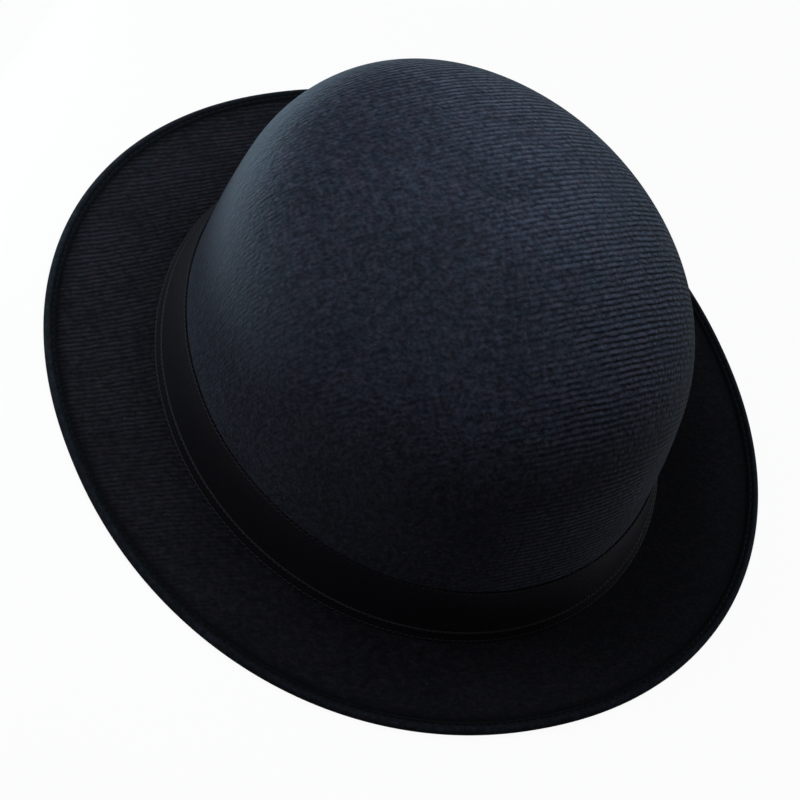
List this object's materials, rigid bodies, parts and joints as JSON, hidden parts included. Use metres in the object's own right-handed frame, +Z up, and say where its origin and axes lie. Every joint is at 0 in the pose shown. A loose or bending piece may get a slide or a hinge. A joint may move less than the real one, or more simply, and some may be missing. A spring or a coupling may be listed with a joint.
{
  "type": "bowler hat",
  "caption": "Bowler hat with a domed oval crown, a flat brim with a bound wired edge, a ribbon band, a lining and a sweatband.",
  "frame": {"origin": "centre of the hat's outline, on the surface that the brim rests on", "axes": "+Z up through the crown, +Y towards the back of the hat, +X towards the wearer's left"},
  "size_m": [0.269, 0.287, 0.126],
  "materials": {
    "twill": "brushed twill cloth",
    "binding": "twill cloth binding",
    "ribbon": "ribbed ribbon",
    "lining": "satin",
    "sweat": "woven cotton band",
    "board": "matte moulded sheet",
    "reed": "matte",
    "wire": "drawn wire"
  },
  "bodies": {
    "root": {"crown_cover": "twill", "crown_stiffener": "board", "lining_side": "lining", "lining_tip": "lining", "brim_top_cover": "twill", "brim_stiffener": "board", "brim_under_cover": "twill", "brim_edge_binding": "binding", "brim_edge_wire": "wire", "wire_ferrule": "wire", "hat_band": "ribbon", "hat_band_keeper": "ribbon", "sweatband": "sweat", "sweatband_reed": "reed", "sweatband_join_tape": "sweat"}
  },
  "joints": []
}
